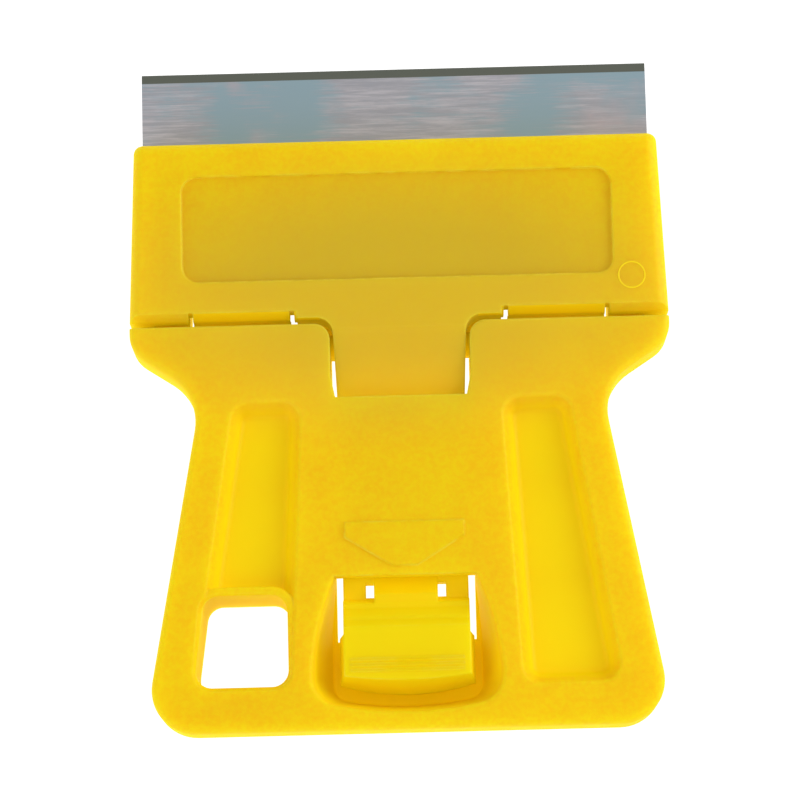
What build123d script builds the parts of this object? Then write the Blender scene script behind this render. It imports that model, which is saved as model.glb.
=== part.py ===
from build123d import *
import os
from math import atan2, degrees

# A pocket scraper that holds a single-edge blade, lying on its back.
# +Z points out of the front face, +Y towards the cutting edge, +X to the right.
# Every size is in millimetres. Y places are measured up from the foot of the handle.

# Blade: ground strip with a folded back
blade_half = 19.5
blade_height = 18.2
blade_thickness = 0.25
blade_lift = 0.175  # back face over the pivot's axis
blade_showing = 6.4
blade_seat = 2.0  # head's lower edge to the folded back
bevel_length = 0.62
bevel_tip = 0.04
spine_depth = 5.5
spine_gauge = 0.32
spine_end_inset = 0.25

# Handle outline, out from the blade's ends and down from the shoulders' upper edge
handle_length = 30.78  # foot to the shoulders' upper edge
body_depth = 8.0
foot_side = 0.32
foot_corner = 3.3
neck_drop = 5.25
neck_inset = 4.35
neck_round = 4.0
shoulder_drop = 1.8
shoulder_side = 0.95
shoulder_round = 2.4
front_round = 0.5
rim_round = 0.25
back_height = 4.0  # how much of the side walls draws in towards the back
back_inset = 0.8

# Throat between the shoulders
throat_length = 5.65  # shoulders' upper edge down to the panel
throat_round = 1.2  # where the shoulders turn down into the channel
throat_step = 0.33  # how far the throat draws in at the panel
throat_rise = 1.65
panel_edge = 0.75  # thickness of the panel where the tongue dives under it
panel_thinning = 2.6  # how far the panel's underside slopes

# Handle walls
skin = 1.6
outer_wall = 1.6
channel_wall = 1.2
channel_half = 5.3
window_top = 11.53
deck_thickness = 1.5
deck_length = 4.5
deck_edge_drop = 1.5  # shoulders' upper edge down to the deck's edge in the channel

# Grip recesses, whose sides lie across the flank between channel and outer side
grip_drop = 5.9
grip_bottom = 3.18
grip_low_shares = (0.240, 0.778)
grip_high_shares = (0.226, 0.742)
grip_corner = 1.4
grip_depth = 1.5
grip_draft = 30.0  # degrees
grip_floor = 1.3
grip_floor_round = 0.5
rib_thickness = 1.0
rib_count = 2  # cross ribs behind each grip
rib_setback = 1.2  # from the back face

# Hang hole in the foot of the left grip, with a raised collar
hang_bottom = 3.38
hang_top = 10.28
hang_low_shares = (0.259, 0.773)
hang_high_shares = (0.285, 0.775)
hang_corner = 1.25
hang_wall = 1.3
hang_flare = 0.3
hang_flare_slope = 45  # degrees from the hole's axis
collar_width = 0.66
collar_drop = 0.15
collar_round = 0.2

# Dish round the button, out from the channel's sides
dish_bottom = 1.28
dish_corner_rise = 1.0
dish_reach = 1.9
dish_side_reach = 1.55
dish_corner = 2.3
dish_floor_reach = 0.35
dish_floor_rise = 0.95
dish_floor_corner_rise = 1.55
dish_floor_corner = 1.3
dish_floor_z = 2.0
dish_wall = 1.1
dish_floor_drop = 4.35  # window's top down to where the floor stops

# Arrow block over the window, left bare
arrow_inset = 0.8  # inside the channel's sides
arrow_top_rise = 4.05
arrow_shoulder_rise = 2.9
arrow_tip_rise = 0.7
arrow_tip_half = 0.95
arrow_height = 0.15

# Jaws
seam_gap = 0.5
mouth_side = 0.45  # beyond the blade's ends
jaw_corner = 0.7
back_jaw_thin = 1.0  # how far the back jaw's outer face has come forward at the mouth
blade_side_clearance = 0.12
spine_clearance = 0.06
clamp_clearance = 0.05
jaw_skin = 1.8
jaw_lip = 2.3
jaw_side = 1.3
jaw_rib = 1.0
jaw_core_count = 6
jaw_rear_wall = 1.0
jaw_side_round = 0.9
band_drop = 0.8  # slope along the head's lower edge, in depth
band_length = 0.55  # the same slope, along the handle

# Label recess, left bare
label_inset = 3.15  # inside the blade's ends
label_rise = 2.9
label_drop = 2.7
label_corner = 1.25
label_depth = 0.28

# Pivot
pivot_drop = 1.1
pivot_depth = 4.6  # below the front face
pivot_radius = 1.0
pivot_clearance = 0.05
hook_outer = 2.15
hook_inner_gap = 2.82  # outside the channel's side
hook_outer_inset = 3.7  # inside the blade's end
hook_mouth_half = 0.8
slit_width = 0.36
slit_length = 1.07
hook_side_room = 0.25
hook_end_room = 0.4
hook_window_rise = 2.9
bar_web_width = 0.9
edge_plate = 2.0  # thickness of the head's lower edge

# Tongue and arm, inside the channel's sides
tongue_gap_top = 0.22
tongue_gap = 0.58
tongue_fillet = 1.25
tongue_crease_drop = 0.4
arm_thickness = 1.5
arm_clearance = 0.25  # between the arm and the panel over it
arm_root_clearance = 0.6  # over the pivot bar

# Press button: depths from the front face, rises from the dish, drops from the window's top
button_gap = 0.55
button_base_gap = 0.21
button_face_depth = 0.2
button_base_depth = 3.6
button_end_rise = 2.4
button_end_corner_rise = 2.75
button_base_end_rise = 1.54
button_base_corner_rise = 2.3
button_skin = 1.5
button_wall = 1.0
step_low_drop = 1.95
step_low_run = 0.3
step_low_depth = 1.1
step_mid_start_drop = 2.35
step_mid_drop = 3.05
step_mid_depth = 0.65
step_high_start_drop = 3.25
pad_top_drop = 3.8
ridge_height = 0.1
ridge_width = 0.2
ridge_count = 3
ridge_pitch = 0.41
ridge_rise = 0.42  # first ridge over the corners of the button's end
ridge_inset = 0.5
neck_slot_inner = 2.4
neck_slot_outer = 3.02
neck_slot_low_drop = 1.5
neck_slot_high_drop = 0.4
neck_rise_drop = 1.3

# One overrun serves every cut, and one tolerance picks edges out
over = 1.0
tolerance = 0.01

# Places that follow from the sizes above
foot_half = blade_half + foot_side
neck_half = blade_half - neck_inset
neck_height = handle_length - neck_drop
shoulder_half = blade_half + shoulder_side
shoulder_height = handle_length - shoulder_drop
back_taper = degrees(atan2(back_inset, back_height))
skin_under = body_depth - skin
panel_top = handle_length - throat_length
deck_bottom = handle_length - deck_length
deck_edge = handle_length - deck_edge_drop
grip_top = handle_length - grip_drop
head_bottom = handle_length + seam_gap
blade_rear = head_bottom + blade_seat
blade_edge = blade_rear + blade_height
mouth = blade_edge - blade_showing
mouth_half = blade_half + mouth_side
pivot_height = handle_length - pivot_drop
pivot_z = body_depth - pivot_depth
bar_top_z = pivot_z + pivot_radius
blade_back_z = pivot_z + blade_lift
blade_front_z = blade_back_z + blade_thickness
spine_back_z = blade_back_z - spine_gauge
spine_front_z = blade_front_z + spine_gauge
spine_top = blade_rear + spine_depth
clamp_z = blade_front_z + clamp_clearance
jaw_skin_z = body_depth - jaw_skin
jaw_step = blade_rear - spine_clearance
jaw_rear = blade_rear + spine_clearance
edge_plate_z = body_depth - edge_plate
label_half = blade_half - label_inset
hook_inner_side = channel_half + hook_inner_gap
hook_outer_side = blade_half - hook_outer_inset
tongue_half_top = channel_half - tongue_gap_top
tongue_half = channel_half - tongue_gap
tongue_low = panel_top - panel_thinning
arm_top_z = skin_under - arm_clearance
arm_under_z = arm_top_z - arm_thickness
dish_half = channel_half + dish_reach
dish_side_half = channel_half + dish_side_reach
dish_floor_half = channel_half + dish_floor_reach
dish_floor_top = window_top - dish_floor_drop
dish_levels = (
    (dish_floor_half, dish_floor_half, dish_floor_corner_rise, dish_floor_rise, dish_floor_corner),
    (dish_half, dish_side_half, dish_corner_rise, 0, dish_corner),
)
arrow_half = channel_half - arrow_inset
button_half = channel_half - button_gap
button_face_z = body_depth - button_face_depth
button_base_z = body_depth - button_base_depth
button_end_corner = dish_bottom + button_end_corner_rise
step_low = window_top - step_low_drop
step_low_z = body_depth - step_low_depth
step_mid = window_top - step_mid_drop
step_mid_z = body_depth - step_mid_depth


def mirrored(points):
    """The points of a right half, then the same points on the left, back to the start."""
    return points + [(-x, y) for x, y in reversed(points)]


def rounded_face(points, radii):
    """A closed flat outline whose corners have the given radii, 0 for a sharp one."""
    return make_face(FilletPolyline(*points, radius=radii, close=True).edges())


def slab(x_low, x_high, y_low, y_high, z_low, z_high):
    """A plain block between two corners."""
    size = (x_high - x_low, y_high - y_low, z_high - z_low)
    centre = ((x_high + x_low) / 2, (y_high + y_low) / 2, (z_high + z_low) / 2)
    return Pos(*centre) * Box(*size)


def raised(face, z_low, z_high):
    """A flat outline drawn up from one height to another."""
    return extrude(Pos(0, 0, z_low) * face, amount=z_high - z_low, dir=(0, 0, 1))


def narrow_backed(face):
    """An outline as deep as the body, whose back part draws in."""
    back = extrude(Pos(0, 0, back_height) * face, amount=back_height, dir=(0, 0, -1), taper=back_taper)
    return back + raised(face, back_height, body_depth)


def side_profile(points, x_low, x_high):
    """An outline of (Y, Z) points, drawn across the object from one X to another."""
    face = make_face(Polyline(*points, close=True).edges())
    plane = Plane(origin=(x_low, 0, 0), x_dir=(0, 1, 0), z_dir=(1, 0, 0))
    return extrude(plane * face, amount=x_high - x_low, dir=(1, 0, 0))


def both_sides(shape):
    """A right-hand shape together with its mirror image."""
    return [shape, mirror(shape, about=Plane.YZ)]


def flare(height):
    """Half width of the handle's slanted side at a height."""
    return foot_half + (neck_half - foot_half) * height / neck_height


def across(height, share):
    """A place on the flank: 0 at the channel's side, 1 at the handle's side."""
    return channel_half + (flare(height) - channel_half) * share


def outline(inset=0.0, reach=0.0):
    """The handle seen from the front, drawn in by a wall or carried on past the seam."""
    points = [
        (foot_half - inset, inset),
        (neck_half - inset, neck_height),
        (shoulder_half - inset, shoulder_height + inset / 2),
        (shoulder_half - inset, handle_length + reach),
    ]
    right = [foot_corner, neck_round, shoulder_round, 0]
    return rounded_face(mirrored(points), right + right[::-1])


def handle_block():
    """The handle as a full solid that ends at the seam."""
    return narrow_backed(outline(0.0, over)) & slab_below_seam()


def grip_outline(grow=0.0):
    """The right-hand grip recess, whose sides lean with the handle."""
    points = [
        (across(grip_bottom, grip_low_shares[0]) - grow, grip_bottom - grow),
        (across(grip_bottom, grip_low_shares[1]) + grow, grip_bottom - grow),
        (across(grip_top, grip_high_shares[1]) + grow, grip_top + grow),
        (across(grip_top, grip_high_shares[0]) - grow, grip_top + grow),
    ]
    return rounded_face(points, grip_corner + grow)


def hang_outline(grow=0.0):
    """The hang hole, on the left, slanted with the handle's side."""
    points = [
        (-across(hang_bottom, hang_low_shares[0]) + grow, hang_bottom - grow),
        (-across(hang_top, hang_high_shares[0]) + grow, hang_top + grow),
        (-across(hang_top, hang_high_shares[1]) - grow, hang_top + grow),
        (-across(hang_bottom, hang_low_shares[1]) - grow, hang_bottom - grow),
    ]
    return rounded_face(points, hang_corner + grow)


def dish_outline(half, side_half, corner_rise, end_rise, corner, grow):
    """One level of the dish: straight at the window, round-cornered at the foot."""
    side = (side_half + grow, (window_top + dish_bottom + corner_rise) / 2)
    foot = (half + grow, dish_bottom + corner_rise - grow)
    top = (channel_half + grow, window_top)
    edges = [
        ThreePointArc(top, side, foot),
        ThreePointArc(foot, (0, dish_bottom + end_rise - grow), (-foot[0], foot[1])),
        ThreePointArc((-foot[0], foot[1]), (-side[0], side[1]), (-top[0], top[1])),
        Line((-top[0], top[1]), top),
    ]
    face = make_face([edge.edge() for edge in edges])
    low = face.vertices().sort_by(Axis.Y)[:2]
    return fillet(low, corner + grow)


def dish(grow, floor_z, rim_z):
    """The dish as a solid: steep walls from the rim down to the floor."""
    floor, rim = [dish_outline(*level, grow) for level in dish_levels]
    return loft([Pos(0, 0, floor_z) * floor, Pos(0, 0, rim_z) * rim], ruled=True)


def on_front(edge):
    """Whether an edge lies in the front face but not along the seam."""
    in_front = abs(edge.center().Z - body_depth) < tolerance
    return in_front and abs(edge.center().Y - handle_length) > tolerance


def handle_shell():
    """Front skin and outer wall, open at the back, with the deck under the pivot."""
    body = handle_block()
    body = fillet(body.edges().filter_by(on_front), front_round)
    hollow = raised(outline(outer_wall, over), deck_thickness, skin_under)
    below_deck = slab(-foot_half, foot_half, 0, deck_bottom, 0, deck_thickness)
    hollow += raised(outline(outer_wall, over), 0, deck_thickness) & below_deck
    keep_z = body_depth - grip_depth - grip_floor
    for keep in both_sides(raised(grip_outline(grip_floor / 2), keep_z, skin_under)):
        hollow -= keep
    return body - hollow


def handle_ribs():
    """Walls beside the channel, round the hang hole and behind the grips."""
    wall_top = skin_under + skin / 2
    wall_end = handle_length - throat_round
    wall = slab(channel_half, channel_half + channel_wall, outer_wall / 2, wall_end, 0, wall_top)
    pieces = both_sides(wall)
    pieces.append(raised(hang_outline(hang_wall), 0, wall_top))
    pitch = (neck_height - grip_bottom) / (rib_count + 1)
    rib_top = body_depth - grip_depth - grip_floor / 2
    for place in range(1, rib_count + 1):
        low = grip_bottom + pitch * place
        reach = flare(low + rib_thickness) - outer_wall / 2
        rib = slab(channel_half, reach, low, low + rib_thickness, rib_setback, rib_top)
        pieces += both_sides(rib)
    return pieces


def head_outline(bottom):
    """The head seen from the front, from the mouth down to a height."""
    points = [(shoulder_half, bottom), (mouth_half, mouth)]
    radii = [0, jaw_corner]
    return rounded_face(mirrored(points), radii + radii[::-1])


def back_jaw():
    """The plate behind the blade, thinner at the mouth, with a groove for the folded back."""
    profile = [
        (deck_bottom, 0),
        (blade_rear, 0),
        (mouth, back_jaw_thin),
        (mouth, blade_back_z),
        (jaw_step, blade_back_z),
        (jaw_step, deck_thickness),
        (deck_bottom, deck_thickness),
    ]
    plate = side_profile(profile, -shoulder_half, shoulder_half)
    groove_half = blade_half + blade_side_clearance
    groove_high = spine_top + spine_clearance
    groove = slab(-groove_half, groove_half, jaw_step, groove_high, spine_back_z, blade_front_z)
    plate -= groove
    lip = slab(groove_half, shoulder_half, jaw_step, mouth, blade_back_z - skin, blade_front_z)
    for piece in both_sides(lip):
        plate += piece
    cheek_low = hook_outer_side + hook_side_room
    cheek = slab(cheek_low, shoulder_half, deck_bottom, blade_rear, 0, blade_back_z)
    for piece in both_sides(cheek):
        plate += piece
    above = narrow_backed(head_outline(deck_bottom)) - slab_below_seam()
    return plate & (above + handle_block())


def slab_below_seam():
    """Everything on the handle's side of the seam."""
    wide = shoulder_half + over
    return slab(-wide, wide, -over, handle_length, -over, body_depth + over)


def across_bar(x_low, x_high, radius):
    """A round bar on the pivot's axis from one X to another."""
    place = Pos((x_low + x_high) / 2, pivot_height, pivot_z) * Rot(0, 90, 0)
    return place * Cylinder(radius, x_high - x_low)


def hook_window():
    """The opening in the deck that a hook swings in, on the right."""
    low = hook_inner_side - hook_side_room
    high = hook_outer_side + hook_side_room
    bottom = pivot_height - hook_outer - hook_end_room
    return slab(low, high, bottom, head_bottom + hook_window_rise, -over, skin_under)


def bar_web(x_low):
    """A web that ties the pivot bar to the deck beside a hook's window."""
    bottom = pivot_height - pivot_radius
    top = pivot_height + pivot_radius
    return slab(x_low, x_low + bar_web_width, bottom, top, 0, pivot_z)


def throat():
    """The slot between the shoulders that the tongue passes through."""
    wide = channel_half + throat_round
    points = [
        (channel_half - throat_step, panel_top),
        (channel_half, panel_top + throat_rise),
        (channel_half, handle_length),
        (wide + over, handle_length),
        (wide + over, handle_length + over),
    ]
    radii = [0, 0, throat_round, 0, 0]
    return raised(rounded_face(mirrored(points), radii + radii[::-1]), skin_under - over, body_depth + over)


def panel_relief():
    """The slope under the panel's edge, which makes room for the tongue."""
    edge_z = body_depth - panel_edge
    profile = [
        (tongue_low, skin_under),
        (panel_top, edge_z),
        (panel_top + throat_rise, edge_z),
        (panel_top + throat_rise, skin_under),
    ]
    return side_profile(profile, -channel_half, channel_half)


def arrow_block():
    """A low block shaped as an arrow towards the button."""
    points = [
        (arrow_tip_half, window_top + arrow_tip_rise),
        (arrow_half, window_top + arrow_shoulder_rise),
        (arrow_half, window_top + arrow_top_rise),
    ]
    return raised(rounded_face(mirrored(points), 0), body_depth - arrow_height, body_depth + arrow_height)


def grip_pocket():
    """The recess of a grip, with leaning walls and a rounded floor."""
    face = Pos(0, 0, body_depth) * grip_outline()
    pocket = extrude(face, amount=grip_depth, dir=(0, 0, -1), taper=grip_draft)
    floor_edges = pocket.faces().sort_by(Axis.Z)[0].edges()
    return fillet(floor_edges, grip_floor_round)


def hang_collar():
    """The raised collar between the left grip and the hang hole."""
    collar = raised(hang_outline(collar_width), body_depth - grip_depth - grip_floor, body_depth - collar_drop)
    return fillet(collar.faces().sort_by(Axis.Z)[-1].edges(), collar_round)


def hang_cut():
    """The hang hole, which opens out at the front."""
    depth = hang_flare + over
    flared = Pos(0, 0, body_depth + over) * hang_outline(depth)
    top = extrude(flared, amount=depth, dir=(0, 0, -1), taper=hang_flare_slope)
    return raised(hang_outline(), -over, body_depth + over) + top


def on_rim(edge):
    """Whether a front edge belongs to the rim of the dish or of a grip."""
    box = edge.bounding_box()
    centre = edge.center()
    level = abs(box.min.Z - body_depth) < tolerance and abs(box.max.Z - body_depth) < tolerance
    inside = abs(centre.X) < flare(centre.Y) - front_round - tolerance
    above_foot = box.min.Y > front_round + tolerance
    below_panel = box.max.Y < panel_top - tolerance
    in_window = abs(centre.Y - window_top) < tolerance
    return level and inside and above_foot and below_panel and not in_window


def make_handle():
    """The whole handle moulding, with its back jaw and its pivot bar."""
    body = handle_shell()
    for piece in handle_ribs():
        body += piece
    body += dish(dish_wall, dish_floor_z - dish_wall, skin_under + skin / 2) & handle_block()
    body += back_jaw()
    body -= dish(0.0, dish_floor_z, body_depth)
    body -= slab(-channel_half, channel_half, dish_floor_top, deck_edge, -over, skin_under)
    body -= slab(-channel_half, channel_half, deck_edge, jaw_step, deck_thickness, skin_under)
    body -= throat()
    body -= panel_relief()
    body -= slab(-channel_half, channel_half, dish_floor_top, window_top, -over, body_depth + over)
    for pocket in both_sides(grip_pocket()):
        body -= pocket
    body = fillet(body.edges().filter_by(on_rim), rim_round)
    body += hang_collar()
    body -= hang_cut()
    for window in both_sides(hook_window()):
        body -= window
    reach = hook_outer_side + hook_side_room + bar_web_width
    body += across_bar(-reach, reach, pivot_radius)
    for low in (hook_inner_side - hook_side_room - bar_web_width, hook_outer_side + hook_side_room):
        for web in both_sides(bar_web(low)):
            body += web
    body += arrow_block()
    return body


def jaw_shape():
    """The front jaw's block, with rounded sides and the slope along its lower edge."""
    block = raised(head_outline(head_bottom), clamp_z, body_depth)
    sides = block.edges().filter_by(lambda edge: edge.center().Z > body_depth - tolerance)
    sides = sides.filter_by(lambda edge: edge.center().Y > head_bottom + tolerance)
    block = fillet(sides, jaw_side_round)
    slope = [
        (head_bottom - over, body_depth - band_drop),
        (head_bottom, body_depth - band_drop),
        (head_bottom + band_length, body_depth),
        (head_bottom + band_length, body_depth + over),
        (head_bottom - over, body_depth + over),
    ]
    low = tongue_half_top + tongue_fillet
    for piece in both_sides(side_profile(slope, low, shoulder_half + over)):
        block -= piece
    return block


def jaw_cores():
    """Pockets between the ribs on the front jaw's inner side."""
    low_x = jaw_side - mouth_half
    pitch = -2 * low_x / jaw_core_count
    low_y = jaw_rear + jaw_rear_wall
    pieces = []
    for core in range(jaw_core_count):
        middle = low_x + pitch * (core + 1 / 2)
        half = (pitch - jaw_rib) / 2
        pieces.append(slab(middle - half, middle + half, low_y, mouth - jaw_lip, clamp_z - over, jaw_skin_z))
    return pieces


def label_recess():
    """The shallow recess for a label, left bare."""
    low = head_bottom + label_rise
    points = mirrored([(label_half, low), (label_half, mouth - label_drop)])
    return raised(rounded_face(points, label_corner), body_depth - label_depth, body_depth + over)


def hook():
    """A moulded hook round the pivot bar, with its neck, on the right."""
    low = hook_inner_side + slit_width / 2
    high = hook_outer_side - slit_width / 2
    ring = across_bar(low, high, hook_outer)
    neck_low = pivot_z + (pivot_radius + hook_outer) / 2
    neck = [
        (pivot_height, neck_low),
        (jaw_rear + jaw_rear_wall, neck_low),
        (jaw_rear + jaw_rear_wall, jaw_skin_z),
        (head_bottom, edge_plate_z),
        (pivot_height, pivot_z + hook_outer),
    ]
    ring += side_profile(neck, low, high)
    ring -= across_bar(low - over, high + over, pivot_radius + pivot_clearance)
    mouth_low = pivot_height - hook_mouth_half
    mouth_high = pivot_height + hook_mouth_half
    return ring - slab(low - over, high + over, mouth_low, mouth_high, -over, pivot_z)


def lever_arm():
    """Tongue and arm: down from the head, under the panel, as far as the button."""
    root_half = hook_inner_side - slit_width
    dive_z = body_depth - panel_edge - arm_clearance
    profile = [
        (jaw_rear, body_depth),
        (handle_length - tongue_crease_drop, body_depth),
        (panel_top, dive_z),
        (tongue_low, arm_top_z),
        (step_mid, arm_top_z),
        (step_mid, arm_under_z),
        (tongue_low, arm_under_z),
        (panel_top, dive_z - arm_thickness),
        (pivot_height - pivot_radius, bar_top_z + arm_root_clearance),
        (jaw_rear, bar_top_z + arm_root_clearance),
    ]
    plan = [
        (tongue_half, step_mid),
        (tongue_half, tongue_low),
        (tongue_half_top, head_bottom),
        (root_half, head_bottom),
        (root_half, jaw_rear),
    ]
    radii = [0, 0, tongue_fillet, 0, 0]
    cut = raised(rounded_face(mirrored(plan), radii + radii[::-1]), 0, body_depth)
    arm = side_profile(profile, -root_half, root_half) & cut
    neck = [
        (step_low, arm_top_z),
        (step_low, step_low_z),
        (window_top - neck_rise_drop, step_low_z),
        (window_top, arm_top_z),
    ]
    return arm + side_profile(neck, -neck_slot_inner, neck_slot_inner)


def button_outline(half, corner, end):
    """One level of the button's lower block, with its bowed end."""
    foot = (half, corner)
    top = (half, dish_floor_top)
    edges = [
        Line(top, foot),
        ThreePointArc(foot, (0, end), (-half, corner)),
        Line((-half, corner), (-half, dish_floor_top)),
        Line((-half, dish_floor_top), top),
    ]
    return make_face([edge.edge() for edge in edges])


def button():
    """The press button: steps up to a flat pad, and a bowed, leaning end."""
    base_corner = dish_bottom + button_base_corner_rise
    base = button_outline(channel_half - button_base_gap, base_corner, dish_bottom + button_base_end_rise)
    face = button_outline(button_half, button_end_corner, dish_bottom + button_end_rise)
    block = loft([Pos(0, 0, button_base_z) * base, Pos(0, 0, button_face_z) * face], ruled=True)
    step_high_start = window_top - step_high_start_drop
    steps = [
        (dish_floor_top, arm_under_z),
        (dish_floor_top, button_face_z),
        (window_top - pad_top_drop, button_face_z),
        (step_high_start, step_mid_z),
        (step_mid, step_mid_z),
        (window_top - step_mid_start_drop, step_low_z),
        (step_low, step_low_z),
        (step_low + step_low_run, arm_top_z),
        (step_low + step_low_run, arm_under_z),
    ]
    block += side_profile(steps, -button_half, button_half)
    inner = button_half - button_wall
    core_low = button_end_corner + button_wall
    block -= slab(-inner, inner, core_low, step_mid, button_base_z - over, button_face_z - button_skin)
    return block


def button_ridges():
    """Fine cross ridges near the end of the button."""
    half = button_half - ridge_inset
    pieces = []
    for row in range(ridge_count):
        low = button_end_corner + ridge_rise + ridge_pitch * row - ridge_width / 2
        top = button_face_z + ridge_height
        pieces.append(slab(-half, half, low, low + ridge_width, button_face_z - ridge_height, top))
    return pieces


def make_clamp_lever():
    """The front jaw, its hooks, the tongue, the arm and the press button in one moulding."""
    lever = jaw_shape()
    for core in jaw_cores():
        lever -= core
    wide = shoulder_half + over
    groove_top = spine_front_z + spine_clearance
    lever -= slab(-wide, wide, jaw_step, spine_top + spine_clearance, clamp_z - over, groove_top)
    cheek = mouth_half - jaw_side
    lever -= slab(-cheek, cheek, head_bottom - over, jaw_rear, clamp_z - over, edge_plate_z)
    lever -= label_recess()
    for piece in both_sides(hook()):
        lever += piece
    lever += lever_arm()
    lever += button()
    for ridge in button_ridges():
        lever += ridge
    for side in (hook_inner_side, hook_outer_side):
        low = side - slit_width / 2
        slit = slab(low, low + slit_width, handle_length, handle_length + slit_length, 0, body_depth + over)
        for piece in both_sides(slit):
            lever -= piece
    low = window_top - neck_slot_low_drop
    high = window_top - neck_slot_high_drop
    for piece in both_sides(slab(neck_slot_inner, neck_slot_outer, low, high, 0, body_depth)):
        lever -= piece
    return lever


def make_blade():
    """The ground steel strip, bevelled from both faces to its edge."""
    middle = (blade_back_z + blade_front_z) / 2
    profile = [
        (blade_rear + spine_gauge, blade_back_z),
        (blade_edge - bevel_length, blade_back_z),
        (blade_edge, middle - bevel_tip / 2),
        (blade_edge, middle + bevel_tip / 2),
        (blade_edge - bevel_length, blade_front_z),
        (blade_rear + spine_gauge, blade_front_z),
    ]
    return side_profile(profile, -blade_half, blade_half)


def make_blade_spine():
    """The folded back: a channel pressed on the blade's rear edge."""
    half = blade_half - spine_end_inset
    channel = slab(-half, half, blade_rear, spine_top, spine_back_z, spine_front_z)
    rear = channel.edges().filter_by(Axis.X).sort_by(Axis.Y)[:2]
    channel = fillet(rear, spine_gauge)
    slot = slab(-half - over, half + over, blade_rear + spine_gauge, spine_top + over, blade_back_z, blade_front_z)
    return channel - slot


def main():
    """Builds every piece, centres the set over its footprint and writes it."""
    os.makedirs("parts", exist_ok=True)
    pieces = {
        "handle": make_handle(),
        "clamp_lever": make_clamp_lever(),
        "blade": make_blade(),
        "blade_spine": make_blade_spine(),
    }
    for name, shape in pieces.items():
        placed = Pos(0, -blade_edge / 2, 0) * shape
        solids = placed.solids()
        export_step(Compound(solids) if len(solids) > 1 else solids[0], f"parts/{name}.step")
        print(name, len(solids), round(placed.volume, 1))


main()
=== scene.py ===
import bpy
import bmesh
from math import radians
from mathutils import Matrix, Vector


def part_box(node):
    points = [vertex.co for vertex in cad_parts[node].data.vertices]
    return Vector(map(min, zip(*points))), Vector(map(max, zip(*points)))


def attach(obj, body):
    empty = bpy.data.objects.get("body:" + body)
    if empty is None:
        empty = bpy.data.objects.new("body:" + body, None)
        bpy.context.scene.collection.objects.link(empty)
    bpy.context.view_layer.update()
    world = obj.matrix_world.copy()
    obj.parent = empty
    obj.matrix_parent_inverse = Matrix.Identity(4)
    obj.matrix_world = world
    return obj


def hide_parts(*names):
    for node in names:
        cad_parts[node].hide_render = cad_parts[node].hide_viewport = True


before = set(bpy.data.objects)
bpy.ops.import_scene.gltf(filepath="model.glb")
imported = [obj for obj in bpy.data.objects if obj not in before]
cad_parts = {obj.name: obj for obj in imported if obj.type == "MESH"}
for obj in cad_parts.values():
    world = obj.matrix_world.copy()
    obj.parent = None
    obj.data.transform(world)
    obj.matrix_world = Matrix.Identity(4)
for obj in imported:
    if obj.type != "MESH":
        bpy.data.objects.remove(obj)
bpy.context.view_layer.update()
mm = 0.001  # every size below is in millimetres and is brought to metres with this
view = bpy.context.scene


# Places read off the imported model, so that the dressing follows it

def low(node):
    return Vector(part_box(node)[0])


def high(node):
    return Vector(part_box(node)[1])


seamBelowSpine = 2.5
slopeOverSeam = 0.5
footY = low("handle").y
seamY = low("blade_spine").y - seamBelowSpine * mm
frontZ = high("clamp_lever").z
headFootY = seamY + slopeOverSeam * mm
bladeEdgeY = high("blade").y
print("frame loaded:", ", ".join(sorted(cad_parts)))


# Node helpers

mixFactor, mixUnder, mixOver, mixResult = 0, 6, 7, 2  # the sockets of a colour mix
black = (0.0, 0.0, 0.0, 1.0)


def addNode(tree, kind, **settings):
    node = tree.nodes.new(kind)
    for key, value in settings.items():
        setattr(node, key, value)
    return node


def setInput(node, name, value):
    node.inputs[name].default_value = value


def linear(red, green, blue):
    # a screen colour, 0 to 255, as the shader wants it
    parts = [channel / 255 for channel in (red, green, blue)]
    parts = [c / 12.92 if c <= 0.04045 else ((c + 0.055) / 1.055) ** 2.4 for c in parts]
    return (*parts, 1.0)


def newGroup(name, inputs, outputs):
    group = bpy.data.node_groups.new(name, "ShaderNodeTree")
    for label, kind, value in inputs:
        socket = group.interface.new_socket(name=label, in_out="INPUT", socket_type=kind)
        if value is not None:
            socket.default_value = value
    for label, kind in outputs:
        group.interface.new_socket(name=label, in_out="OUTPUT", socket_type=kind)
    return group, group.nodes.new("NodeGroupInput"), group.nodes.new("NodeGroupOutput")


def useGroup(tree, group, place, **values):
    # a shader group that is fed with the place on the piece
    node = addNode(tree, "ShaderNodeGroup", node_tree=group)
    tree.links.new(place, node.inputs["Vector"])
    for key, value in values.items():
        setInput(node, key, value)
    return node


def addNoise(tree, **values):
    noise = addNode(tree, "ShaderNodeTexNoise")
    for key, value in values.items():
        setInput(noise, key, value)
    return noise


def maskBetween(tree, source, start, end, top=1.0):
    # a mask that rises softly from 0 to its top between two values
    ramp = addNode(tree, "ShaderNodeMapRange", interpolation_type="SMOOTHSTEP")
    setInput(ramp, "From Min", start)
    setInput(ramp, "From Max", end)
    setInput(ramp, "To Max", top)
    tree.links.new(source, ramp.inputs["Value"])
    return ramp.outputs["Result"]


def spreadOver(tree, source, span):
    # brings a mask to a span of roughness
    spread = addNode(tree, "ShaderNodeMapRange")
    setInput(spread, "To Min", span[0])
    setInput(spread, "To Max", span[1])
    tree.links.new(source, spread.inputs["Value"])
    return spread.outputs["Result"]


def layColour(tree, under, over, mask, blend="MIX"):
    # one colour over another by a mask; each of the three is a value or a node's output
    mix = addNode(tree, "ShaderNodeMix", data_type="RGBA", blend_type=blend)
    for socket, source in ((mixUnder, under), (mixOver, over), (mixFactor, mask)):
        if isinstance(source, bpy.types.NodeSocket):
            tree.links.new(source, mix.inputs[socket])
        else:
            setInput(mix, socket, source)
    return mix.outputs[mixResult]


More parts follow.
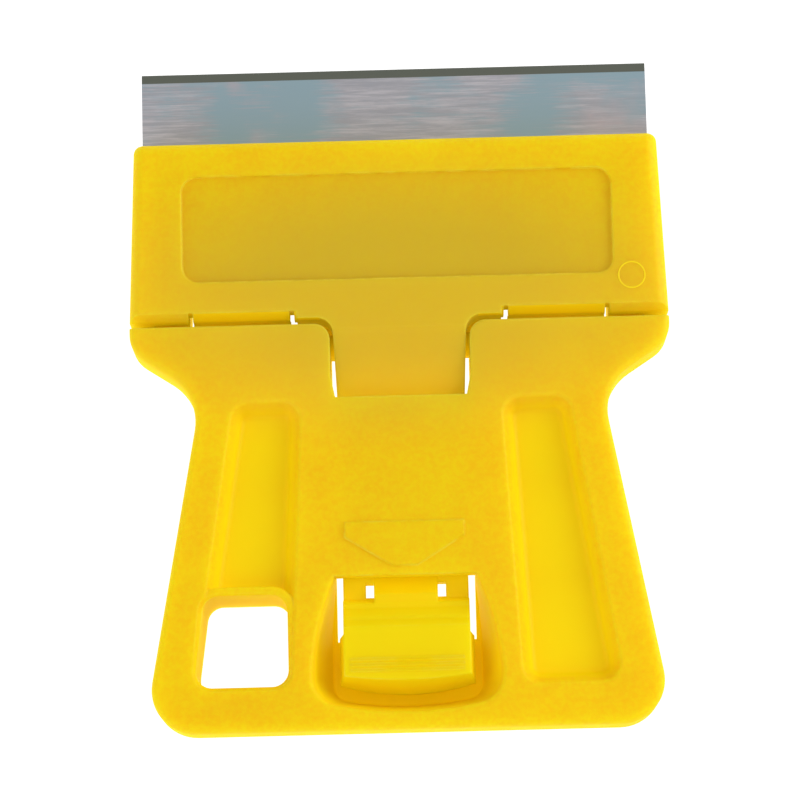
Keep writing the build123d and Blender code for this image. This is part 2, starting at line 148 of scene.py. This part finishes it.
def addBump(tree, shader, height, look, normal=None):
    # fine relief, over the rounded edges where their normal is given
    bump = addNode(tree, "ShaderNodeBump")
    setInput(bump, "Strength", look["bump"])
    setInput(bump, "Distance", look["bumpDepth"] * mm)
    tree.links.new(height, bump.inputs["Height"])
    if normal is not None:
        tree.links.new(normal, bump.inputs["Normal"])
    tree.links.new(bump.outputs["Normal"], shader.inputs["Normal"])


# Shader groups that more than one finish uses

grainSpan = (0.25, 0.75)  # noise values that clouds and speckles run between
speckleHeight = 0.3  # the speckle's share in the height of the orange peel
breakSpan = (0.35, 0.6)  # noise values that wear breaks up between
streakSpan = (0.4, 0.68)  # noise values that grinding streaks run between


def makeMouldedGrain():
    # cloudy colour, fine speckle and orange peel of a moulded part
    group, source, result = newGroup(
        "mouldedGrain",
        [("Vector", "NodeSocketVector", None), ("Cloud Scale", "NodeSocketFloat", 220.0),
         ("Speckle Scale", "NodeSocketFloat", 2600.0), ("Peel Scale", "NodeSocketFloat", 1500.0)],
        [("Cloud", "NodeSocketFloat"), ("Speckle", "NodeSocketFloat"), ("Height", "NodeSocketFloat")])
    links = group.links
    cloud = addNoise(group, Detail=4.0, Roughness=0.6, Distortion=0.35)
    speckle = addNoise(group, Detail=2.0, Roughness=0.7)
    peel = addNoise(group, Detail=1.5)
    for texture, scale in ((cloud, "Cloud Scale"), (speckle, "Speckle Scale"), (peel, "Peel Scale")):
        links.new(source.outputs["Vector"], texture.inputs["Vector"])
        links.new(source.outputs[scale], texture.inputs["Scale"])
    for texture, name in ((cloud, "Cloud"), (speckle, "Speckle")):
        links.new(maskBetween(group, texture.outputs["Fac"], *grainSpan), result.inputs[name])
    height = addNode(group, "ShaderNodeMath", operation="MULTIPLY_ADD")
    setInput(height, 1, speckleHeight)
    links.new(speckle.outputs["Fac"], height.inputs[0])
    links.new(peel.outputs["Fac"], height.inputs[2])
    links.new(height.outputs["Value"], result.inputs["Height"])
    return group


def makeEdgeWearAndSheen():
    # how far a rounded normal leans from the true one: strong along edges and corners
    group, source, result = newGroup(
        "edgeWearAndSheen",
        [("Vector", "NodeSocketVector", None), ("Radius", "NodeSocketFloat", 0.0002),
         ("Gain", "NodeSocketFloat", 3.0), ("Break Scale", "NodeSocketFloat", 700.0)],
        [("Mask", "NodeSocketFloat"), ("Rounded", "NodeSocketVector")])
    links = group.links
    rounded = addNode(group, "ShaderNodeBevel", samples=6)
    geometry = addNode(group, "ShaderNodeNewGeometry")
    lean = addNode(group, "ShaderNodeVectorMath", operation="DOT_PRODUCT")
    gap = addNode(group, "ShaderNodeMath", operation="SUBTRACT")
    setInput(gap, 0, 1.0)
    gained = addNode(group, "ShaderNodeMath", operation="MULTIPLY", use_clamp=True)
    breaks = addNoise(group, Detail=3.0)
    worn = addNode(group, "ShaderNodeMath", operation="MULTIPLY")
    links.new(source.outputs["Radius"], rounded.inputs["Radius"])
    links.new(rounded.outputs["Normal"], lean.inputs[0])
    links.new(geometry.outputs["Normal"], lean.inputs[1])
    links.new(lean.outputs["Value"], gap.inputs[1])
    links.new(gap.outputs["Value"], gained.inputs[0])
    links.new(source.outputs["Gain"], gained.inputs[1])
    links.new(source.outputs["Vector"], breaks.inputs["Vector"])
    links.new(source.outputs["Break Scale"], breaks.inputs["Scale"])
    links.new(gained.outputs["Value"], worn.inputs[0])
    links.new(maskBetween(group, breaks.outputs["Fac"], *breakSpan), worn.inputs[1])
    links.new(worn.outputs["Value"], result.inputs["Mask"])
    links.new(rounded.outputs["Normal"], result.inputs["Rounded"])
    return group


def makeMetalBrushing():
    # fine grinding lines that run one way, with broken streaks
    group, source, result = newGroup(
        "metalBrushing",
        [("Vector", "NodeSocketVector", None), ("Stretch", "NodeSocketVector", (60.0, 4000.0, 4000.0)),
         ("Line Scale", "NodeSocketFloat", 1.0)],
        [("Lines", "NodeSocketFloat"), ("Streaks", "NodeSocketFloat")])
    links = group.links
    stretch = addNode(group, "ShaderNodeVectorMath", operation="MULTIPLY")
    lines = addNoise(group, Detail=3.0)
    streaks = addNoise(group, Scale=0.45, Detail=5.0, Roughness=0.75)
    links.new(source.outputs["Vector"], stretch.inputs[0])
    links.new(source.outputs["Stretch"], stretch.inputs[1])
    links.new(stretch.outputs["Vector"], lines.inputs["Vector"])
    links.new(source.outputs["Line Scale"], lines.inputs["Scale"])
    links.new(stretch.outputs["Vector"], streaks.inputs["Vector"])
    links.new(lines.outputs["Fac"], result.inputs["Lines"])
    links.new(maskBetween(group, streaks.outputs["Fac"], *streakSpan), result.inputs["Streaks"])
    return group


def makeBoxMask():
    # 1 inside a box given by its centre and half sizes, 0 outside
    group, source, result = newGroup(
        "boxMask",
        [("Vector", "NodeSocketVector", None), ("Centre", "NodeSocketVector", (0.0, 0.0, 0.0)),
         ("Half", "NodeSocketVector", (1.0, 1.0, 1.0))],
        [("Mask", "NodeSocketFloat")])
    links = group.links
    moved = addNode(group, "ShaderNodeVectorMath", operation="SUBTRACT")
    scaled = addNode(group, "ShaderNodeVectorMath", operation="DIVIDE")
    folded = addNode(group, "ShaderNodeVectorMath", operation="ABSOLUTE")
    split = addNode(group, "ShaderNodeSeparateXYZ")
    widest = addNode(group, "ShaderNodeMath", operation="MAXIMUM")
    farthest = addNode(group, "ShaderNodeMath", operation="MAXIMUM")
    inside = addNode(group, "ShaderNodeMath", operation="LESS_THAN")
    setInput(inside, 1, 1.0)
    links.new(source.outputs["Vector"], moved.inputs[0])
    links.new(source.outputs["Centre"], moved.inputs[1])
    links.new(moved.outputs["Vector"], scaled.inputs[0])
    links.new(source.outputs["Half"], scaled.inputs[1])
    links.new(scaled.outputs["Vector"], folded.inputs[0])
    links.new(folded.outputs["Vector"], split.inputs["Vector"])
    links.new(split.outputs["X"], widest.inputs[0])
    links.new(split.outputs["Y"], widest.inputs[1])
    links.new(widest.outputs["Value"], farthest.inputs[0])
    links.new(split.outputs["Z"], farthest.inputs[1])
    links.new(farthest.outputs["Value"], inside.inputs[0])
    links.new(inside.outputs["Value"], result.inputs["Mask"])
    return group


mouldedGrain = makeMouldedGrain()
boxMask = makeBoxMask()
edgeWearAndSheen = makeEdgeWearAndSheen()
metalBrushing = makeMetalBrushing()
print("shader groups ready")


# Finishes

def startMaterial(name):
    material = bpy.data.materials.new(name)
    material.use_nodes = True
    tree = material.node_tree
    place = addNode(tree, "ShaderNodeTexCoord").outputs["Object"]
    return material, tree, tree.nodes["Principled BSDF"], place


def makePlastic(name, look):
    material, tree, shader, place = startMaterial(name)
    links = tree.links
    grain = useGroup(tree, mouldedGrain, place, **{
        "Cloud Scale": look["cloudScale"], "Speckle Scale": look["speckleScale"],
        "Peel Scale": look["peelScale"]})
    wearAndSheen = useGroup(tree, edgeWearAndSheen, place, Radius=look["wearRadius"] * mm, Gain=look["wearGain"])
    colour = layColour(tree, look["deep"], look["body"], grain.outputs["Cloud"])
    grey = addNode(tree, "ShaderNodeCombineColor")
    for channel in range(3):
        links.new(grain.outputs["Speckle"], grey.inputs[channel])
    colour = layColour(tree, colour, grey.outputs["Color"], look["speckle"], "OVERLAY")
    # painted light: the deep walls are painted a clearer yellow, to offset the orange that light takes on
    # as it bounces about in a recess
    height = addNode(tree, "ShaderNodeSeparateXYZ")
    links.new(place, height.inputs["Vector"])
    sunk = maskBetween(tree, height.outputs["Z"], look["sunkTop"], look["sunkFoot"])
    colour = layColour(tree, colour, look["sunk"], sunk)
    # painted shade: a soft ball of duller colour over the head and shoulders, where the jaws' steel lies
    # close behind the skin
    around = addNode(tree, "ShaderNodeMapping")
    setInput(around, "Scale", [1 / (size * mm) for size in look["paintedShadeReach"]])
    setInput(around, "Location", [-spot / size for spot, size in zip(look["paintedShadePlace"], look["paintedShadeReach"])])
    ball = addNode(tree, "ShaderNodeTexGradient", gradient_type="SPHERICAL")
    links.new(place, around.inputs["Vector"])
    links.new(around.outputs["Vector"], ball.inputs["Vector"])
    paintedShadeMask = maskBetween(tree, ball.outputs["Fac"], 0.0, look["paintedShadeFull"], look["paintedShadeShare"])
    colour = layColour(tree, colour, look["paintedShade"], paintedShadeMask)
    # painted light: the thin band between the seam's slits and the hollow button get colours of their own
    # that stand in for the daylight coming through them
    for part in ("band", "pad"):
        lit = useGroup(tree, boxMask, place, Centre=look[part + "Centre"], Half=look[part + "Half"])
        colour = layColour(tree, colour, look[part], lit.outputs["Mask"])
    # the label's floor is flatter and duller still
    recess = useGroup(tree, boxMask, place, Centre=look["labelCentre"], Half=look["labelHalf"])
    colour = layColour(tree, colour, look["labelTint"], recess.outputs["Mask"], "MULTIPLY")
    # only the edges near the front are painted paler: partly rubbed wear, partly painted highlight
    rubbedAndSheen = addNode(tree, "ShaderNodeMath", operation="SUBTRACT", use_clamp=True)
    links.new(wearAndSheen.outputs["Mask"], rubbedAndSheen.inputs[0])
    links.new(sunk, rubbedAndSheen.inputs[1])
    colour = layColour(tree, colour, look["edge"], rubbedAndSheen.outputs["Value"])
    links.new(colour, shader.inputs["Base Color"])
    # the speckle and the steep walls are rougher
    geometry = addNode(tree, "ShaderNodeNewGeometry")
    facing = addNode(tree, "ShaderNodeSeparateXYZ")
    steep = addNode(tree, "ShaderNodeMapRange")
    setInput(steep, "From Min", look["steepSpan"][0])
    setInput(steep, "From Max", look["steepSpan"][1])
    setInput(steep, "To Max", look["wallRough"])
    roughest = addNode(tree, "ShaderNodeMath", operation="ADD", use_clamp=True)
    links.new(geometry.outputs["Normal"], facing.inputs["Vector"])
    links.new(facing.outputs["Z"], steep.inputs["Value"])
    links.new(spreadOver(tree, grain.outputs["Speckle"], look["rough"]), roughest.inputs[0])
    links.new(steep.outputs["Result"], roughest.inputs[1])
    links.new(roughest.outputs["Value"], shader.inputs["Roughness"])
    addBump(tree, shader, grain.outputs["Height"], look, wearAndSheen.outputs["Rounded"])
    # painted glow: the narrow gaps and hollows give off a little light of their own, standing in for the
    # daylight that comes through the thin plastic
    shade = addNode(tree, "ShaderNodeAmbientOcclusion", samples=4)
    setInput(shade, "Distance", look["hollowReach"] * mm)
    hollow = maskBetween(tree, shade.outputs["AO"], look["hollowOpen"], look["hollowShut"])
    links.new(layColour(tree, black, look["through"], hollow), shader.inputs["Emission Color"])
    setInput(shader, "Emission Strength", look["throughShare"])
    setInput(shader, "Specular IOR Level", look["gloss"])
    setInput(shader, "Subsurface Weight", look["glow"])
    setInput(shader, "Subsurface Radius", look["glowReach"])
    setInput(shader, "Subsurface Scale", look["glowDepth"] * mm)
    return material


labelSizes = {"belowTop": 2.7, "aboveSeam": 3.4, "halfWidth": 16.37, "overlap": 0.02, "depth": 0.28,
              "halfDepth": 0.14}
labelTop = high("clamp_lever").y - labelSizes["belowTop"] * mm
labelBottom = seamY + labelSizes["aboveSeam"] * mm

plasticLook = {
    "body": linear(254, 211, 10),
    "deep": linear(250, 200, 14),
    # paler edges: partly rubbed wear, partly painted highlight
    "edge": linear(255, 226, 60),
    # painted light: the clearer yellow of the deep walls
    "sunk": linear(255, 218, 4),
    "sunkTop": frontZ - 0.3 * mm,
    "sunkFoot": frontZ - 1.2 * mm,
    # painted light: the glowing orange of the seam band
    "band": linear(255, 206, 8),
    # painted glow in the narrow gaps and hollows
    "through": linear(210, 220, 4),
    "throughShare": 0.12,
    "hollowReach": 2.5,
    "hollowOpen": 0.85,
    "hollowShut": 0.15,
    "cloudScale": 160.0,
    "speckleScale": 2400.0,
    "peelScale": 1500.0,
    "speckle": 0.1,
    "wearRadius": 0.25,
    "wearGain": 3.0,
    "rough": (0.4, 0.55),
    "steepSpan": (0.8, 0.2),
    "wallRough": 0.3,
    "bump": 0.3,
    "bumpDepth": 0.02,
    "gloss": 0.1,
    "glow": 0.7,
    "glowDepth": 3.0,
    "glowReach": (1.0, 0.88, 0.15),
    # painted shade: the duller colour and the ball it fills over the head and shoulders
    "paintedShade": linear(222, 189, 46),
    "paintedShadePlace": (0.0, 7.0, 8.0),
    "paintedShadeReach": (28.0, 13.0, 5.0),
    "paintedShadeFull": 0.7,
    "paintedShadeShare": 0.85,
    "bandCentre": (0.0, headFootY + 0.26 * mm, frontZ - 0.5 * mm),
    "bandHalf": (16.0 * mm, 0.29 * mm, 0.44 * mm),
    # painted light: the paler glow of the button pad
    "pad": linear(255, 220, 2),
    "padCentre": (0.0, footY + 6.2 * mm, frontZ - 0.9 * mm),
    "padHalf": (5.1 * mm, 3.4 * mm, 1.0 * mm),
    "labelCentre": (0.0, (labelTop + labelBottom) / 2, frontZ - labelSizes["depth"] * mm),
    "labelHalf": (labelSizes["halfWidth"] * mm, (labelTop - labelBottom) / 2 + labelSizes["overlap"] * mm,
                  labelSizes["halfDepth"] * mm),
    "labelTint": linear(246, 246, 250),
}

plastic = makePlastic("yellowPlastic", plasticLook)
# fine marks stand on the skin, so light doesn't travel inside them; a brighter colour and a stronger
# painted glow give a little of it back
plasticMark = makePlastic("yellowPlasticMark", {
    **plasticLook, "glow": 0.0, "wearRadius": 0.02, "body": linear(255, 224, 14),
    "deep": linear(255, 216, 10), "throughShare": 0.2, "hollowOpen": 1.3, "hollowShut": 0.9})

bladeLook = {
    "face": linear(164, 164, 172),
    "pale": linear(193, 190, 197),
    "tints": (
        {"colour": linear(147, 171, 182), "scale": 110.0, "shift": 0.0, "span": (0.56, 0.74)},
        {"colour": linear(184, 172, 179), "scale": 150.0, "shift": 0.05, "span": (0.74, 0.95)},
    ),
    "bevel": linear(96, 100, 90),
    "bevelLength": 0.68,
    "bevelBlend": 0.02,
    "ragged": 0.25,
    "stretch": (450.0, 9000.0, 9000.0),
    "wearRadius": 0.05,
    "wearGain": 1.5,
    "rough": (0.34, 0.55),
    "bump": 0.25,
    "bumpDepth": 0.008,
    "metal": 0.3,
}


def makeBladeSteel(look):
    material, tree, shader, place = startMaterial("bladeSteel")
    links = tree.links
    brushing = useGroup(tree, metalBrushing, place, Stretch=look["stretch"])
    wearAndSheen = useGroup(tree, edgeWearAndSheen, place, Radius=look["wearRadius"] * mm, Gain=look["wearGain"])
    lines = brushing.outputs["Lines"]
    colour = layColour(tree, look["face"], look["pale"], brushing.outputs["Streaks"])
    # oil tints in soft patches over the ground face, with ragged ends along the grinding
    for tint in look["tints"]:
        move = addNode(tree, "ShaderNodeMapping")
        setInput(move, "Location", (tint["shift"], tint["shift"], 0.0))
        patch = addNoise(tree, Scale=tint["scale"], Detail=4.0)
        ragged = addNode(tree, "ShaderNodeMath", operation="MULTIPLY_ADD")
        setInput(ragged, 1, look["ragged"])
        links.new(place, move.inputs["Vector"])
        links.new(move.outputs["Vector"], patch.inputs["Vector"])
        links.new(lines, ragged.inputs[0])
        links.new(patch.outputs["Fac"], ragged.inputs[2])
        mask = maskBetween(tree, ragged.outputs["Value"], *tint["span"])
        colour = layColour(tree, colour, tint["colour"], mask)
    # the ground bevel is darker
    split = addNode(tree, "ShaderNodeSeparateXYZ")
    links.new(place, split.inputs["Vector"])
    bevelFoot = bladeEdgeY - look["bevelLength"] * mm
    blend = look["bevelBlend"] * mm
    ground = maskBetween(tree, split.outputs["Y"], bevelFoot - blend, bevelFoot + blend)
    colour = layColour(tree, colour, look["bevel"], ground)
    links.new(layColour(tree, colour, look["pale"], wearAndSheen.outputs["Mask"]), shader.inputs["Base Color"])
    links.new(spreadOver(tree, lines, look["rough"]), shader.inputs["Roughness"])
    addBump(tree, shader, lines, look)
    setInput(shader, "Metallic", look["metal"])
    return material


bladeSteel = makeBladeSteel(bladeLook)

spineLook = {
    "steel": linear(150, 150, 150),
    "bright": linear(200, 200, 198),
    "stretch": (40.0, 2500.0, 2500.0),
    "wearRadius": 0.1,
    "wearGain": 3.0,
    "rough": (0.35, 0.5),
    "bump": 0.2,
    "bumpDepth": 0.01,
    "metal": 0.9,
}


def makeSpineSteel(look):
    material, tree, shader, place = startMaterial("spineSteel")
    links = tree.links
    brushing = useGroup(tree, metalBrushing, place, Stretch=look["stretch"])
    wearAndSheen = useGroup(tree, edgeWearAndSheen, place, Radius=look["wearRadius"] * mm, Gain=look["wearGain"])
    colour = layColour(tree, look["steel"], look["bright"], brushing.outputs["Streaks"])
    links.new(layColour(tree, colour, look["bright"], wearAndSheen.outputs["Mask"]), shader.inputs["Base Color"])
    links.new(spreadOver(tree, brushing.outputs["Lines"], look["rough"]), shader.inputs["Roughness"])
    addBump(tree, shader, brushing.outputs["Lines"], look)
    setInput(shader, "Metallic", look["metal"])
    return material


spineSteel = makeSpineSteel(spineLook)
print("finishes ready")


# Pieces

weldGap = 0.0005
sharpAngle = 30.0  # degrees


def dressNode(name, material):
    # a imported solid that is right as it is, with a finish of its own
    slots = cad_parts[name].data.materials
    slots.clear()
    slots.append(material)


def finishMesh(build, name, material, body):
    # turns a built mesh into a piece that rides on a body
    bmesh.ops.remove_doubles(build, verts=build.verts, dist=weldGap * mm)
    bmesh.ops.recalc_face_normals(build, faces=build.faces)
    mesh = bpy.data.meshes.new(name)
    build.to_mesh(mesh)
    build.free()
    mesh.polygons.foreach_set("use_smooth", [True] * len(mesh.polygons))
    mesh.set_sharp_from_angle(angle=radians(sharpAngle))
    if not mesh.materials:
        mesh.materials.append(material)
    piece = bpy.data.objects.new(name, mesh)
    view.collection.objects.link(piece)
    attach(piece, body)
    print(name, len(mesh.polygons), "faces")
    return piece


def newShape(name, inputs):
    # an empty geometry node tree with its named inputs
    tree = bpy.data.node_groups.new(name, "GeometryNodeTree")
    for label, kind in inputs:
        tree.interface.new_socket(name=label, in_out="INPUT", socket_type=kind)
    tree.interface.new_socket(name="Geometry", in_out="OUTPUT", socket_type="NodeSocketGeometry")
    return tree, tree.nodes.new("NodeGroupInput"), tree.nodes.new("NodeGroupOutput")


def growShape(name, tree, values, body):
    # runs a tree with its own values and keeps the plain mesh that comes out
    seed = bpy.data.objects.new(name + "Seed", bpy.data.meshes.new(name + "Seed"))
    view.collection.objects.link(seed)
    grower = seed.modifiers.new("grower", "NODES")
    grower.node_group = tree
    for item in tree.interface.items_tree:
        if item.item_type == "SOCKET" and item.in_out == "INPUT":
            grower[item.identifier] = values[item.name]
    grown = bpy.data.meshes.new_from_object(seed.evaluated_get(bpy.context.evaluated_depsgraph_get()))
    bpy.data.objects.remove(seed)
    build = bmesh.new()
    build.from_mesh(grown)
    return finishMesh(build, name, values["Material"], body)


ribShape = {"points": 9, "sides": 12, "tip": 0.35, "taper": 0.06}
ringShape = {"ringSides": 28, "wireSides": 8}


def makeRibRow():
    # round bars side by side, half sunk in the surface under them
    tree, source, result = newShape("ribRow", [
        ("Count", "NodeSocketInt"), ("Pitch", "NodeSocketFloat"), ("Half Length", "NodeSocketFloat"),
        ("Radius", "NodeSocketFloat"), ("Start", "NodeSocketVector"), ("Material", "NodeSocketMaterial")])
    links = tree.links
    step = addNode(tree, "ShaderNodeCombineXYZ")
    rows = addNode(tree, "GeometryNodeMeshLine", mode="OFFSET")
    right = addNode(tree, "ShaderNodeCombineXYZ")
    left = addNode(tree, "ShaderNodeVectorMath", operation="SCALE")
    setInput(left, "Scale", -1.0)
    bar = addNode(tree, "GeometryNodeCurvePrimitiveLine")
    fine = addNode(tree, "GeometryNodeResampleCurve")
    setInput(fine, "Count", ribShape["points"])
    along = addNode(tree, "GeometryNodeSplineParameter")
    swell = addNode(tree, "ShaderNodeFloatCurve")
    points = swell.mapping.curves[0].points
    points[0].location = (0.0, ribShape["tip"])
    points[1].location = (1.0, ribShape["tip"])
    points.new(ribShape["taper"], 1.0)
    points.new(1.0 - ribShape["taper"], 1.0)
    swelling = addNode(tree, "GeometryNodeSetCurveRadius")
    section = addNode(tree, "GeometryNodeCurvePrimitiveCircle")
    setInput(section, "Resolution", ribShape["sides"])
    sweep = addNode(tree, "GeometryNodeCurveToMesh")
    setInput(sweep, "Fill Caps", True)
    place = addNode(tree, "GeometryNodeInstanceOnPoints")
    real = addNode(tree, "GeometryNodeRealizeInstances")
    finish = addNode(tree, "GeometryNodeSetMaterial")
    links.new(source.outputs["Pitch"], step.inputs["Y"])
    links.new(source.outputs["Count"], rows.inputs["Count"])
    links.new(source.outputs["Start"], rows.inputs["Start Location"])
    links.new(step.outputs["Vector"], rows.inputs["Offset"])
    links.new(source.outputs["Half Length"], right.inputs["X"])
    links.new(right.outputs["Vector"], left.inputs[0])
    links.new(left.outputs["Vector"], bar.inputs["Start"])
    links.new(right.outputs["Vector"], bar.inputs["End"])
    links.new(bar.outputs["Curve"], fine.inputs["Curve"])
    links.new(fine.outputs["Curve"], swelling.inputs["Curve"])
    links.new(along.outputs["Factor"], swell.inputs["Value"])
    links.new(swell.outputs["Value"], swelling.inputs["Radius"])
    links.new(swelling.outputs["Curve"], sweep.inputs["Curve"])
    links.new(source.outputs["Radius"], section.inputs["Radius"])
    links.new(section.outputs["Curve"], sweep.inputs["Profile Curve"])
    links.new(rows.outputs["Mesh"], place.inputs["Points"])
    links.new(sweep.outputs["Mesh"], place.inputs["Instance"])
    links.new(place.outputs["Instances"], real.inputs["Geometry"])
    links.new(real.outputs["Geometry"], finish.inputs["Geometry"])
    links.new(source.outputs["Material"], finish.inputs["Material"])
    links.new(finish.outputs["Geometry"], result.inputs["Geometry"])
    return tree


def makeRingMarks():
    # fine round rings in rows and columns, as ejector pins leave them
    tree, source, result = newShape("ringMarks", [
        ("Columns", "NodeSocketInt"), ("Rows", "NodeSocketInt"), ("Width", "NodeSocketFloat"),
        ("Height", "NodeSocketFloat"), ("Centre", "NodeSocketVector"), ("Ring Radius", "NodeSocketFloat"),
        ("Wire Radius", "NodeSocketFloat"), ("Material", "NodeSocketMaterial")])
    links = tree.links
    grid = addNode(tree, "GeometryNodeMeshGrid")
    spread = addNode(tree, "GeometryNodeMeshToPoints")
    shift = addNode(tree, "GeometryNodeTransform")
    ring = addNode(tree, "GeometryNodeCurvePrimitiveCircle")
    setInput(ring, "Resolution", ringShape["ringSides"])
    wire = addNode(tree, "GeometryNodeCurvePrimitiveCircle")
    setInput(wire, "Resolution", ringShape["wireSides"])
    sweep = addNode(tree, "GeometryNodeCurveToMesh")
    place = addNode(tree, "GeometryNodeInstanceOnPoints")
    real = addNode(tree, "GeometryNodeRealizeInstances")
    finish = addNode(tree, "GeometryNodeSetMaterial")
    links.new(source.outputs["Columns"], grid.inputs["Vertices X"])
    links.new(source.outputs["Rows"], grid.inputs["Vertices Y"])
    links.new(source.outputs["Width"], grid.inputs["Size X"])
    links.new(source.outputs["Height"], grid.inputs["Size Y"])
    links.new(grid.outputs["Mesh"], spread.inputs["Mesh"])
    links.new(spread.outputs["Points"], shift.inputs["Geometry"])
    links.new(source.outputs["Centre"], shift.inputs["Translation"])
    links.new(source.outputs["Ring Radius"], ring.inputs["Radius"])
    links.new(source.outputs["Wire Radius"], wire.inputs["Radius"])
    links.new(ring.outputs["Curve"], sweep.inputs["Curve"])
    links.new(wire.outputs["Curve"], sweep.inputs["Profile Curve"])
    links.new(shift.outputs["Geometry"], place.inputs["Points"])
    links.new(sweep.outputs["Mesh"], place.inputs["Instance"])
    links.new(place.outputs["Instances"], real.inputs["Geometry"])
    links.new(real.outputs["Geometry"], finish.inputs["Geometry"])
    links.new(source.outputs["Material"], finish.inputs["Material"])
    links.new(finish.outputs["Geometry"], result.inputs["Geometry"])
    return tree


dressNode("handle", plastic)
dressNode("clamp_lever", plastic)
dressNode("blade_spine", spineSteel)
print("packed solids dressed")

ribRow = makeRibRow()
ringMarks = makeRingMarks()

buttonRibs = {"count": 3, "pitch": 0.41, "fromFoot": 4.45, "halfLength": 4.25, "radius": 0.145,
              "padDepth": 0.27}
growShape("buttonRibs", ribRow, {
    "Count": buttonRibs["count"], "Pitch": buttonRibs["pitch"] * mm,
    "Half Length": buttonRibs["halfLength"] * mm, "Radius": buttonRibs["radius"] * mm,
    "Start": (0.0, footY + buttonRibs["fromFoot"] * mm, frontZ - buttonRibs["padDepth"] * mm),
    "Material": plasticMark}, "clamp_lever")

# marks of the ejector pins: four behind the grips, one on the front of the head
gripPins = {"columns": 2, "rows": 2, "width": 23.0, "height": 7.65, "fromFoot": 18.67, "depth": 2.8,
            "ring": 1.1, "wire": 0.05}
growShape("gripPinMarks", ringMarks, {
    "Columns": gripPins["columns"], "Rows": gripPins["rows"], "Width": gripPins["width"] * mm,
    "Height": gripPins["height"] * mm,
    "Centre": (0.0, footY + gripPins["fromFoot"] * mm, frontZ - gripPins["depth"] * mm),
    "Ring Radius": gripPins["ring"] * mm, "Wire Radius": gripPins["wire"] * mm,
    "Material": plasticMark}, "handle")
headPin = {"aside": 17.7, "aboveSeam": 3.18, "ring": 1.0, "wire": 0.06}
growShape("headPinMark", ringMarks, {
    "Columns": 1, "Rows": 1, "Width": 0.0, "Height": 0.0,
    "Centre": (headPin["aside"] * mm, seamY + headPin["aboveSeam"] * mm, frontZ),
    "Ring Radius": headPin["ring"] * mm, "Wire Radius": headPin["wire"] * mm,
    "Material": plasticMark}, "clamp_lever")

bladeSizes = {"bevel": bladeLook["bevelLength"], "honing": 0.09, "honedHalf": 0.035, "edgeHalf": 0.012,
              "cuts": 24}


def makeBladeStrip(sizes):
    # the ground strip with its bevel and the fine honed facet at the very edge
    left, rear, back = low("blade")
    right, edge, front = high("blade")
    middle = (back + front) / 2
    bevelY = edge - sizes["bevel"] * mm
    honedY = edge - sizes["honing"] * mm
    honed = sizes["honedHalf"] * mm
    blunt = sizes["edgeHalf"] * mm
    section = [(rear, front), (bevelY, front), (honedY, middle + honed), (edge, middle + blunt),
               (edge, middle - blunt), (honedY, middle - honed), (bevelY, back), (rear, back)]
    build = bmesh.new()
    rings = []
    for cut in range(sizes["cuts"] + 1):
        x = left + (right - left) * cut / sizes["cuts"]
        rings.append([build.verts.new((x, y, z)) for y, z in section])
    for one, other in zip(rings, rings[1:]):
        for corner in range(len(section)):
            following = (corner + 1) % len(section)
            build.faces.new((one[corner], one[following], other[following], other[corner]))
    build.faces.new(rings[0])
    build.faces.new(rings[-1])
    strip = finishMesh(build, "bladeStrip", bladeSteel, "handle")
    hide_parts("blade")


makeBladeStrip(bladeSizes)
print("pieces ready")


# Stage: floor, lights and camera

white = (1.0, 1.0, 1.0, 1.0)
stageLook = {"floorHalf": 2.0, "floorGlow": 1.06, "floorWhite": 0.2, "floorRough": 0.9, "worldGlow": 0.585}
lightLooks = {
    "keySoft": {"place": (0.44, 0.1, 0.26), "size": 0.3, "power": 1.4},
    "fillSoft": {"place": (-0.34, -0.3, 0.26), "size": 0.4, "power": 0.8},
}


def makeFloor(look):
    half = look["floorHalf"]
    mesh = bpy.data.meshes.new("floor")
    corners = [(-half, -half, 0), (half, -half, 0), (half, half, 0), (-half, half, 0)]
    mesh.from_pydata(corners, [], [(0, 1, 2, 3)])
    floor = bpy.data.objects.new("floor", mesh)
    view.collection.objects.link(floor)
    material = bpy.data.materials.new("floorWhite")
    material.use_nodes = True
    shader = material.node_tree.nodes["Principled BSDF"]
    setInput(shader, "Base Color", (*[look["floorWhite"]] * 3, 1.0))
    setInput(shader, "Roughness", look["floorRough"])
    setInput(shader, "Emission Color", white)
    setInput(shader, "Emission Strength", look["floorGlow"])
    mesh.materials.append(material)


def makeLight(name, look):
    # a soft square light that looks at the scraper's middle
    lamp = bpy.data.lights.new(name, "AREA")
    lamp.energy = look["power"]
    lamp.size = look["size"]
    light = bpy.data.objects.new(name, lamp)
    light.location = look["place"]
    light.rotation_euler = Vector(look["place"]).to_track_quat("Z", "Y").to_euler()
    view.collection.objects.link(light)


makeFloor(stageLook)
for lightName, lightLook in lightLooks.items():
    makeLight(lightName, lightLook)

world = bpy.data.worlds.new("studio")
world.use_nodes = True
sky = world.node_tree.nodes["Background"]
setInput(sky, "Color", white)
setInput(sky, "Strength", stageLook["worldGlow"])
view.world = world

# the camera that the photograph was taken with, fitted to the blade and the handle
cameraFit = {"place": (0.00068, -0.04984, 0.30009), "turn": (0.16566, 0.00675, -0.02471),
             "focalPixels": 3928.96, "frameWidth": 800, "sensor": 36.0, "nearest": 0.01}
lens = bpy.data.cameras.new("camera")
lens.sensor_width = cameraFit["sensor"]
lens.lens = cameraFit["sensor"] * cameraFit["focalPixels"] / cameraFit["frameWidth"]
lens.clip_start = cameraFit["nearest"]
camera = bpy.data.objects.new("camera", lens)
camera.location = cameraFit["place"]
camera.rotation_euler = cameraFit["turn"]
view.collection.objects.link(camera)
view.camera = camera
view.view_settings.view_transform = "Standard"
print("stage ready")
